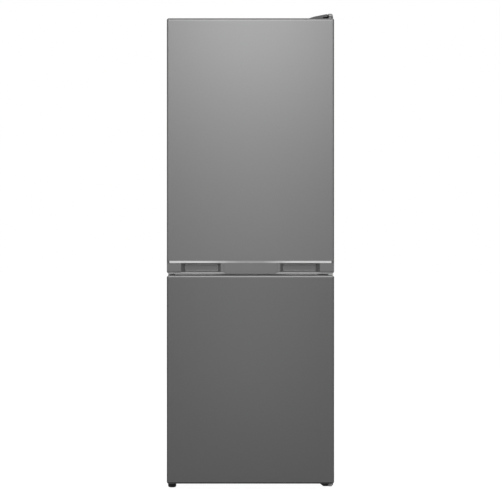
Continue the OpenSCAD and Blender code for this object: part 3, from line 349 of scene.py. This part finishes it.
class Finishes:
    """Every finish of the fridge-freezer, made once."""

    # Pre-coated steel sheet: flakes under a satin film, fine even sparkle and a soft sheen. Its bends
    # at the doors' sides are painted darker as shade, matched to measured tones
    door_sheet = ZonedFinish("satin_silver_steel_sheet", "#535353", 0.48, Pattern.PEEL,
                             grain_mm=1.6, relief_mm=0.004, tone=0.02,
                             metallic=0.6, coat=0.3, coat_roughness=0.35,
                             zones=(Zone("#4B4B4B", x=BEND_X, y=BEND_Y),))
    # The same sheet on the freezer door, painted a shade darker all over as shade, and painted darker
    # again on its bends as shade
    lower_sheet = ZonedFinish("satin_silver_steel_sheet_painted_shade", "#484848", 0.48, Pattern.PEEL,
                              grain_mm=1.6, relief_mm=0.004, tone=0.02,
                              metallic=0.6, coat=0.3, coat_roughness=0.35,
                              zones=(Zone("#363636", x=BEND_X, y=BEND_Y),))
    # Sprayed ABS of the caps, matched to the sheet but a little flatter, with painted shade on the bends
    # at the doors' sides
    cap = ZonedFinish("silver_sprayed_abs", "#686868", 0.45, Pattern.GRAIN,
                      grain_mm=1.2, relief_mm=0.004, tone=0.02, metallic=0.5,
                      zones=(Zone("#505050", x=BEND_X, y=BEND_Y),))
    # The caps of the freezer door, painted a shade darker like its sheet as shade. The upper lip
    # carries a painted highlight; the lower lip is painted shade, darkest over the bottom hinge's
    # cover, and the bends are painted shade too
    lower_cap = ZonedFinish("silver_sprayed_abs_painted_shade_and_highlight", "#545454", 0.48, Pattern.GRAIN,
                            grain_mm=1.2, relief_mm=0.004, tone=0.02, metallic=0.5,
                            zones=(Zone("#303030", y=LOWER_LIP_Y, z=LOWER_LIP_Z),
                                   Zone("#080808", x=HINGE_END_X, y=LOWER_LIP_Y, z=HINGE_END_Z),
                                   Zone("#7C7C7C", y=UPPER_LIP_Y, z=UPPER_LIP_Z),
                                   Zone("#363636", x=BEND_X, y=BEND_Y)))
    # The cabinet's sheet, with painted light: a paler strip where its front passes between the doors
    cabinet_sheet = ZonedFinish("satin_silver_steel_sheet_painted_light_strip", "#606060", 0.48, Pattern.PEEL,
                                grain_mm=1.6, relief_mm=0.004, tone=0.02, metallic=0.6,
                                zones=(Zone("#B8B8B8", y=STRIP_Y, z=STRIP_Z),))
    # Bright rolled steel of the rail between the compartments: it sends the room's light back out
    # through the gap between the doors. The middle of its face is painted darker as shade
    rail_steel = ZonedFinish("bright_rolled_steel", "#8E8E8E", 0.16, Pattern.DRAWN,
                             grain_mm=0.5, tone=0.03, metallic=1.0,
                             zones=(Zone("#5C5C5C", x=RAIL_MIDDLE_X, y=RAIL_FACE_Y, fade=0.04),))
    # Moulded ABS of the grip band, darker and rougher than the sheet, with a foiled bevel that also
    # carries a painted highlight, painted dimmer in its middle. The lip has a painted highlight, the
    # pockets painted shade, with painted light on their backs' top and floor and on their walls. These
    # greys are matched to measured tones
    grip = ZonedFinish("grip_grey_moulded_abs", "#595959", 0.45, Pattern.GRAIN,
                       grain_mm=1.0, relief_mm=0.008, tone=0.03, metallic=0.4,
                       zones=(Zone("#DEDEDE", x=BEVEL_X, y=BEVEL_Y, z=BEVEL_Z),
                              Zone("#A6A6A6", x=BEVEL_MIDDLE_X, y=BEVEL_Y, z=BEVEL_Z, fade=0.1),
                              Zone("#6E6E6E", x=LIP_X, y=LIP_Y, z=LIP_Z),
                              Zone("#505050", x=POCKET_X, y=POCKET_Y, z=POCKET_Z),
                              Zone("#767676", x=POCKET_BACK_X, y=POCKET_Y, z=POCKET_TOP_Z),
                              Zone("#868686", x=POCKET_BACK_X, y=POCKET_Y, z=POCKET_FLOOR_Z),
                              Zone("#7A7A7A", x=INNER_WALL_X, y=INNER_WALL_Y, z=WALL_Z),
                              Zone("#727272", x=OUTER_WALL_X, y=OUTER_WALL_Y, z=WALL_Z)))
    # Hot-dip galvanised sheet of the back and the base: pale crystals 9 mm across
    zinc_sheet = Finish("galvanised_steel_sheet", "#9FA2A3", 0.45, Pattern.SPANGLE,
                        grain_mm=9.0, tone=0.1, metallic=0.8)
    # Zinc-plated pressed steel of hinges and screws, with faint rolling lines
    hinge_steel = Finish("zinc_plated_pressed_steel", "#A6A7A6", 0.2, Pattern.DRAWN,
                         grain_mm=0.5, relief_mm=0.002, tone=0.06, metallic=1.0)
    # The top hinge, duller than the others
    dull_steel = Finish("dulled_zinc_plated_steel", "#8A8B8A", 0.6, Pattern.DRAWN,
                        grain_mm=0.5, relief_mm=0.004, tone=0.06, metallic=0.9)
    # The bottom bracket, with a darker phosphate coat
    dark_steel = Finish("phosphated_pressed_steel", "#888888", 0.5, Pattern.DRAWN,
                        grain_mm=0.5, relief_mm=0.004, tone=0.08, metallic=0.7)
    # Vacuum-formed polystyrene: even white with a soft gloss and a slight ripple
    liner = Finish("vacuum_formed_white_polystyrene", "#EFEFEC", 0.3, Pattern.PEEL,
                   grain_mm=14.0, relief_mm=0.05, tone=0.008, ior=1.59, subsurface=0.05)
    # Soft extruded PVC of the gaskets
    gasket = Finish("extruded_grey_pvc", "#A9A9A7", 0.55, Pattern.GRAIN,
                    grain_mm=0.8, relief_mm=0.01, tone=0.03)
    # Rigid polyurethane foam, only seen where nothing covers it
    foam = Finish("rigid_polyurethane_foam", "#D9C48F", 0.9, Pattern.GRAIN,
                  grain_mm=2.0, relief_mm=0.2, tone=0.1)
    # Moulded cover of the top hinge: grey ABS with a spark-eroded grain
    cover = Finish("grey_moulded_abs", "#383838", 0.55, Pattern.GRAIN,
                   grain_mm=0.8, relief_mm=0.015, tone=0.03)
    # Black polypropylene of feet, rollers and spacers: slightly greasy, grainy
    black_plastic = Finish("black_moulded_polypropylene", "#0D0D0E", 0.6, Pattern.GRAIN,
                           grain_mm=0.9, relief_mm=0.02, tone=0.08, ior=1.3)
    # Toughened float glass: its own faint green
    glass = Finish("toughened_float_glass", "#EAF6F1", 0.02, Pattern.CLEAR,
                   grain_mm=30.0, tone=0.004, ior=1.52, transmission=1.0)
    # White ABS of trims, control housing and switch
    white_plastic = Finish("white_moulded_abs", "#E9E9E7", 0.38, Pattern.GRAIN,
                           grain_mm=0.9, relief_mm=0.008, tone=0.01)
    # Clear polystyrene of the crisper and the door bins, with a blue cast
    clear_plastic = Finish("clear_moulded_polystyrene", "#E3F1F8", 0.08, Pattern.CLEAR,
                           grain_mm=25.0, relief_mm=0.02, tone=0.01, ior=1.59, transmission=0.92)
    # Frosted polystyrene of the freezer drawers: lets light through, hides shapes
    frosted_plastic = Finish("frosted_moulded_polystyrene", "#E2ECF3", 0.35, Pattern.GRAIN,
                             grain_mm=1.5, relief_mm=0.02, tone=0.01, ior=1.59, transmission=0.6)
    # Prismatic diffuser under the lamp, and the lamp's own glass
    diffuser = Finish("opal_moulded_acrylic", "#F4F4EE", 0.25, Pattern.GRAIN,
                      grain_mm=3.0, relief_mm=0.1, tone=0.01, transmission=0.5)
    lamp_glass = Finish("blown_lamp_glass", "#FFF6DD", 0.1, Pattern.CLEAR,
                        grain_mm=20.0, tone=0.01, transmission=0.8)
    # White epoxy film over the evaporator's steel tube
    white_tube = Finish("white_epoxy_coated_tube", "#E4E6E6", 0.35, Pattern.PEEL,
                        grain_mm=3.0, relief_mm=0.03, tone=0.03)
    # Black stove enamel of compressor and condenser
    black_enamel = Finish("black_stove_enamel", "#161617", 0.28, Pattern.PEEL,
                          grain_mm=2.5, relief_mm=0.04, tone=0.1, coat=0.3)
    # Rubber of the mounts under the compressor
    rubber = Finish("black_moulded_rubber", "#1F1E1E", 0.75, Pattern.GRAIN,
                    grain_mm=0.7, relief_mm=0.02, tone=0.1)
    # Drawn copper pipe, dulled by handling
    copper = Finish("drawn_copper_pipe", "#C98A63", 0.3, Pattern.DRAWN,
                    grain_mm=1.0, relief_mm=0.01, tone=0.12, metallic=1.0)

    def __init__(self) -> None:
        """Starts with no material made."""
        self.made: Dict[str, bpy.types.Material] = {}

    def material(self, finish: Finish) -> bpy.types.Material:
        """Gives the one material of a finish.

        Args:
            finish: The finish that is asked for.

        Returns:
            Its material, made at the first call.
        """
        if finish.name not in self.made:
            self.made[finish.name] = finish.build()
        return self.made[finish.name]


finishes = Finishes()


def soften(obj: bpy.types.Object, edge_mm: float) -> None:
    """Rounds an object's sharp edges a little, as moulds and rollers leave them.

    Args:
        obj: The object.
        edge_mm: The edges' radius.
    """
    bevel = obj.modifiers.new("edges", "BEVEL")
    bevel.width = edge_mm / 1000
    bevel.segments = EDGE_SEGMENTS
    bevel.limit_method = "ANGLE"
    bevel.angle_limit = math.radians(EDGE_ANGLE_DEG)
    bevel.harden_normals = True


def dress(names: Sequence[str], finish: Finish, edge_mm: float = 0.0) -> None:
    """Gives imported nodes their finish, and softens their edges.

    Args:
        names: The nodes.
        finish: Their finish.
        edge_mm: Radius of their moulded or rolled edges, or 0 for none.
    """
    for name in names:
        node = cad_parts[name]
        node.data.materials.clear()
        node.data.materials.append(finishes.material(finish))
        if edge_mm > 0:
            soften(node, edge_mm)
        log.info("%s: %s", name, finish.name)


def make_piece(name: str, points: Sequence[Point], faces: Sequence[Sequence[int]], finish: Finish,
               body: str, stands_for: Sequence[str] = ()) -> bpy.types.Object:
    """Makes one flat-faced piece from its points and faces, and sets what it rides on.

    Args:
        name: The piece's name.
        points: Its corners.
        faces: Its faces, as numbers of corners.
        finish: Its finish.
        body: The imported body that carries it.
        stands_for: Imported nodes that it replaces.

    Returns:
        The new object.
    """
    mesh = bpy.data.meshes.new(name)
    mesh.from_pydata(list(points), [], [list(f) for f in faces])
    mesh.validate()
    mesh.materials.append(finishes.material(finish))
    obj = bpy.data.objects.new(name, mesh)
    bpy.context.scene.collection.objects.link(obj)
    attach(obj, body)
    if stands_for:
        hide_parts(*stands_for)
    log.info("%s: %s, on %s", name, finish.name, body)
    return obj


@dataclass
class Gasket:
    """Extruded bellows that runs round a door's inner side and is mitred at its corners."""

    name: str
    node: str
    body: str
    width: float = 0.014
    # Stations up the section, as shares of its height, and how far each side is drawn in there,
    # as shares of its width: foot, neck, two folds and the magnet's pocket
    rise: Sequence[float] = (0.0, 0.12, 0.26, 0.30, 0.42, 0.54, 0.58, 0.72, 0.86, 0.93, 1.0)
    pull: Sequence[float] = (0.08, 0.08, 0.10, 0.34, 0.22, 0.34, 0.16, 0.02, 0.0, 0.02, 0.10)

    def profile(self, depth: float) -> List[Tuple[float, float]]:
        """Draws the section as distances from the outer edge and heights over the door.

        Args:
            depth: The gasket's height over the door.

        Returns:
            The closed outline, counter-clockwise.
        """
        outer = [(self.width * p, depth * r) for p, r in zip(self.pull, self.rise)]
        inner = [(self.width * (1 - p), depth * r) for p, r in zip(self.pull, self.rise)]
        return inner + outer[::-1]

    def build(self) -> bpy.types.Object:
        """Sweeps the section round the door.

        Returns:
            The gasket's object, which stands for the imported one.
        """
        lo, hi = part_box(self.node)
        section = self.profile(hi[1] - lo[1])
        count = len(section)
        corners = ((False, False), (True, False), (True, True), (False, True))
        points: List[Point] = []
        for right, top in corners:
            for inset, height in section:
                points.append((hi[0] - inset if right else lo[0] + inset, lo[1] + height,
                               hi[2] - inset if top else lo[2] + inset))
        faces = []
        for k in range(len(corners)):
            here, there = k * count, (k + 1) % len(corners) * count
            for i in range(count):
                j = (i + 1) % count
                faces.append((here + i, here + j, there + j, there + i))
        return make_piece(self.name, points, faces, Finishes.gasket, self.body, [self.node])


@dataclass
class Door:
    """A foamed door: sheet, caps, inner liner and gasket."""

    prefix: str
    sheet: Finish
    cap: Finish
    caps: Sequence[str]
    bins: Sequence[str] = ()

    def dress(self) -> None:
        """Gives the door's nodes their finishes and adds its gasket."""
        dress([self.prefix + "_skin"], self.sheet)
        dress(self.caps, self.cap, 0.4)
        dress([self.prefix + "_foam"], Finishes.foam)
        dress([self.prefix + "_liner"], Finishes.liner, 0.8)
        dress(self.bins, Finishes.clear_plastic, 0.4)
        Gasket(self.prefix + "_bellows", self.prefix + "_gasket", self.prefix).build()


@dataclass
class Cabinet:
    """The foamed cabinet, its hinges, feet and rollers."""

    zinc: Sequence[str] = ("rear_panel", "base_plate", "compressor_rail")
    hinges: Sequence[str] = ("middle_hinge", "screws")
    black: Sequence[str] = ("bottom_hinge_cover", "rear_spacers", "left_foot", "right_foot",
                            "left_roller", "right_roller", "starter_box", "evaporation_tray")

    def dress(self) -> None:
        """Gives the cabinet's nodes their finishes."""
        dress(["cabinet_wrap"], Finishes.cabinet_sheet)
        dress(["centre_rail"], Finishes.rail_steel)
        dress(self.zinc, Finishes.zinc_sheet)
        dress(self.hinges, Finishes.hinge_steel, 0.3)
        dress(["top_hinge"], Finishes.dull_steel, 0.3)
        dress(["bottom_hinge"], Finishes.dark_steel, 0.3)
        dress(self.black, Finishes.black_plastic, 0.4)
        dress(["top_hinge_cover"], Finishes.cover, 0.6)
        dress(["cabinet_foam"], Finishes.foam)


@dataclass
class FridgeInside:
    """Liner, shelves, crisper and controls of the fridge compartment."""

    panes: Sequence[str] = ("shelf_glass_1", "shelf_glass_2", "crisper_cover")
    white: Sequence[str] = ("shelf_trim_1", "shelf_trim_2", "crisper_trim", "control_housing",
                            "thermostat_knob", "switch_housing", "switch_plunger")
    # The dial: how many marks, from where and how far round, and how far off the knob
    mark_count: int = 7
    mark_start_deg: float = 225
    mark_sweep_deg: float = 270
    mark_gap: float = 0.004
    # A mark: length, thickness, half its width at the first one, and what each next one adds
    mark_length: float = 0.003
    mark_thickness: float = 0.0002
    mark_half_width: float = 0.0004
    mark_growth: float = 0.0001

    def dress(self) -> None:
        """Gives the compartment's nodes their finishes and adds the dial's marks."""
        dress(["fridge_liner"], Finishes.liner, 1.0)
        dress(self.panes, Finishes.glass, 0.5)
        dress(self.white, Finishes.white_plastic, 0.4)
        dress(["crisper_drawer"], Finishes.clear_plastic, 0.5)
        dress(["lamp_cover"], Finishes.diffuser)
        dress(["lamp"], Finishes.lamp_glass)
        self.dial_marks()

    def dial_marks(self) -> bpy.types.Object:
        """Prints a ring of growing bars round the thermostat knob.

        Returns:
            The marks, as one thin piece on the control housing.
        """
        lo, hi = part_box("thermostat_knob")
        centre = Vector(((lo[0] + hi[0]) / 2, 0, (lo[2] + hi[2]) / 2))
        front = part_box("control_housing")[0][1]
        near = (hi[0] - lo[0]) / 2 + self.mark_gap
        far = near + self.mark_length
        half = self.mark_thickness / 2
        points: List[Point] = []
        faces = []
        for i in range(self.mark_count):
            angle = math.radians(self.mark_start_deg - i * self.mark_sweep_deg / (self.mark_count - 1))
            out = Vector((math.cos(angle), 0, math.sin(angle)))
            side = Vector((-out.z, 0, out.x)) * (self.mark_half_width + self.mark_growth * i)
            a = len(points)
            for radius, sign in ((near, -1), (near, 1), (far, 1), (far, -1)):
                spot = centre + out * radius + side * sign
                for y in (front - half, front + half):
                    points.append((spot.x, y, spot.z))
            faces += [(a, a + 2, a + 4, a + 6), (a + 1, a + 7, a + 5, a + 3), (a, a + 1, a + 3, a + 2),
                      (a + 2, a + 3, a + 5, a + 4), (a + 4, a + 5, a + 7, a + 6), (a + 6, a + 7, a + 1, a)]
        return make_piece("dial_marks", points, faces, Finishes.black_plastic, "cabinet")


@dataclass
class FreezerInside:
    """Liner, evaporator shelves and drawers of the freezer compartment."""

    tubes: Sequence[str] = ("lower_evaporator", "upper_evaporator")
    drawers: Sequence[str] = ("top_drawer", "middle_drawer", "bottom_drawer")

    def dress(self) -> None:
        """Gives the compartment's nodes their finishes."""
        dress(["freezer_liner"], Finishes.liner, 1.0)
        dress(self.tubes, Finishes.white_tube)
        dress(self.drawers, Finishes.frosted_plastic, 0.6)


@dataclass
class CoolingUnit:
    """Compressor, condenser and pipes at the back."""

    black: Sequence[str] = ("compressor", "condenser_tube", "condenser_wires")

    def dress(self) -> None:
        """Gives the unit's nodes their finishes."""
        dress(self.black, Finishes.black_enamel)
        dress(["compressor_mounts"], Finishes.rubber, 0.5)
        dress(["filter_drier", "refrigerant_pipes"], Finishes.copper)


@dataclass(frozen=True)
class SoftBox:
    """A rectangular lamp: where it stands, the point that it faces, its width and height."""

    name: str
    place: Point
    aim: Point
    size: Tuple[float, float]
    watts: float

    def build(self) -> None:
        """Adds the lamp to the scene."""
        data = bpy.data.lights.new(self.name, "AREA")
        data.shape = "RECTANGLE"
        data.size, data.size_y = self.size
        data.energy = self.watts
        obj = bpy.data.objects.new(self.name, data)
        obj.location = self.place
        look = Vector(self.aim) - Vector(self.place)
        obj.rotation_euler = look.to_track_quat("-Z", "Y").to_euler()
        bpy.context.scene.collection.objects.link(obj)


@dataclass
class Studio:
    """Camera, lamps, floor and surroundings."""

    # The camera: distance from the doors, height, step to the side, lens, sensor and reach
    distance: float = 4.5
    height: float = 0.7767
    aside: float = -0.0015
    lens_mm: float = 100.5
    sensor_mm: float = 36.0
    sight: float = 100.0
    # The floor: half its side, its grey and its glow for rays that show the background
    floor_reach: float = 40.0
    floor_grey: str = "#949494"
    floor_glow: float = 0.94
    # The sky's light: its level, and how it grows from below the horizon upwards
    ambient: float = 0.2
    sky_rise: Span = (-0.1, 0.8)
    sky_light: Span = (0.1, 1.6)
    # A high box for the fall of light down the doors, and two weak strips for the glow up their
    # middle, with a break where the rail behind the gap would mirror them. The others light the
    # sides and the back
    soft_boxes: Sequence[SoftBox] = (
        SoftBox("key_box", place=(0, -3.2, 2.1), aim=(0, -0.3, 1.0), size=(0.5, 0.6), watts=55.5),
        SoftBox("low_strip", place=(0, -2.0, 0.33), aim=(0, 0, 0.33), size=(0.08, 0.46), watts=1.7),
        SoftBox("high_strip", place=(0, -2.0, 1.01), aim=(0, 0, 1.01), size=(0.08, 0.46), watts=1.7),
        SoftBox("left_box", place=(-3.0, 0.2, 2.0), aim=(0, 0, 0.9), size=(1.6, 2.0), watts=10.0),
        SoftBox("right_box", place=(3.0, 0.2, 2.0), aim=(0, 0, 0.9), size=(1.6, 2.0), watts=10.0),
        SoftBox("back_box", place=(0, 3.0, 2.4), aim=(0, 0.2, 0.9), size=(2.4, 1.6), watts=20.0))

    def camera(self) -> None:
        """Looks straight at the doors from the photograph's distance."""
        data = bpy.data.cameras.new("camera")
        data.lens = self.lens_mm
        data.sensor_width = self.sensor_mm
        data.clip_end = self.sight
        obj = bpy.data.objects.new("camera", data)
        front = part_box("fridge_door_skin")[0][1]
        obj.location = (self.aside, front - self.distance, self.height)
        obj.rotation_euler = (math.pi / 2, 0, 0)
        bpy.context.scene.collection.objects.link(obj)
        bpy.context.scene.camera = obj

    def shows_background(self, tree: bpy.types.NodeTree) -> Link:
        """Tells the rays that show the background from those that light the object.

        Args:
            tree: The node tree of the floor or the world.

        Returns:
            A node and the output that is 1 for such rays.
        """
        path = add_node(tree, "ShaderNodeLightPath")
        direct = add_node(tree, "ShaderNodeMath", {"operation": "MAXIMUM"},
                          {0: (path, "Is Camera Ray"), 1: (path, "Is Transmission Ray")})
        return (add_node(tree, "ShaderNodeMath", {"operation": "MAXIMUM"},
                         {0: (direct, "Value"), 1: (path, "Is Glossy Ray")}), "Value")

    def floor(self) -> None:
        """Lays a pale floor that keeps the object's shadow."""
        r = self.floor_reach
        mesh = bpy.data.meshes.new("floor")
        mesh.from_pydata([(-r, -r, 0), (r, -r, 0), (r, r, 0), (-r, r, 0)], [], [(0, 1, 2, 3)])
        material = bpy.data.materials.new("pale_studio_floor")
        material.use_nodes = True
        tree = material.node_tree
        tree.nodes.clear()
        matt = add_node(tree, "ShaderNodeBsdfDiffuse", {"Color": linear(self.floor_grey)})
        glow = add_node(tree, "ShaderNodeEmission",
                        {"Color": linear("#FFFFFF"), "Strength": self.floor_glow})
        lit = add_node(tree, "ShaderNodeAddShader", {}, {0: (matt, "BSDF"), 1: (glow, "Emission")})
        both = add_node(tree, "ShaderNodeMixShader", {},
                        {0: self.shows_background(tree), 1: (matt, "BSDF"), 2: (lit, "Shader")})
        add_node(tree, "ShaderNodeOutputMaterial", {}, {"Surface": (both, "Shader")})
        mesh.materials.append(material)
        obj = bpy.data.objects.new("floor", mesh)
        bpy.context.scene.collection.objects.link(obj)

    def world(self) -> None:
        """Surrounds the object with a white studio that is brighter above."""
        world = bpy.data.worlds.new("studio")
        world.use_nodes = True
        bpy.context.scene.world = world
        tree = world.node_tree
        tree.nodes.clear()
        place = add_node(tree, "ShaderNodeTexCoord")
        axes = add_node(tree, "ShaderNodeSeparateXYZ", {}, {0: (place, "Generated")})
        (low, high), (dim, bright) = self.sky_rise, self.sky_light
        rise = add_node(tree, "ShaderNodeMapRange",
                        {"From Min": low, "From Max": high, "To Min": dim, "To Max": bright},
                        {"Value": (axes, "Z")})
        power = add_node(tree, "ShaderNodeMath", {"operation": "MULTIPLY", 1: self.ambient},
                         {0: (rise, "Result")})
        light = add_node(tree, "ShaderNodeBackground", {"Color": linear("#FFFFFF")},
                         {"Strength": (power, "Value")})
        white = add_node(tree, "ShaderNodeBackground", {"Color": linear("#FFFFFF"), "Strength": 1.0})
        both = add_node(tree, "ShaderNodeMixShader", {},
                        {0: self.shows_background(tree), 1: (light, "Background"),
                         2: (white, "Background")})
        add_node(tree, "ShaderNodeOutputWorld", {}, {"Surface": (both, "Shader")})

    def build(self) -> None:
        """Sets up the whole studio."""
        bpy.context.scene.view_settings.view_transform = "Standard"
        self.camera()
        for soft_box in self.soft_boxes:
            soft_box.build()
        self.floor()
        self.world()


def main() -> None:
    """Dresses every sub-assembly and sets up the studio."""
    logging.basicConfig(level=logging.INFO, format="%(name)s %(message)s")
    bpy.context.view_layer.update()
    Studio().build()
    Cabinet().dress()
    FridgeInside().dress()
    FreezerInside().dress()
    CoolingUnit().dress()
    dress(["fridge_door_grip"], Finishes.grip)
    Door("fridge_door", Finishes.door_sheet, Finishes.cap, ["fridge_door_cap"],
         ["top_bin", "middle_bin", "bottle_bin"]).dress()
    Door("freezer_door", Finishes.lower_sheet, Finishes.lower_cap,
         ["freezer_door_cap", "freezer_door_foot_cap"]).dress()


if __name__ == "__main__":
    main()
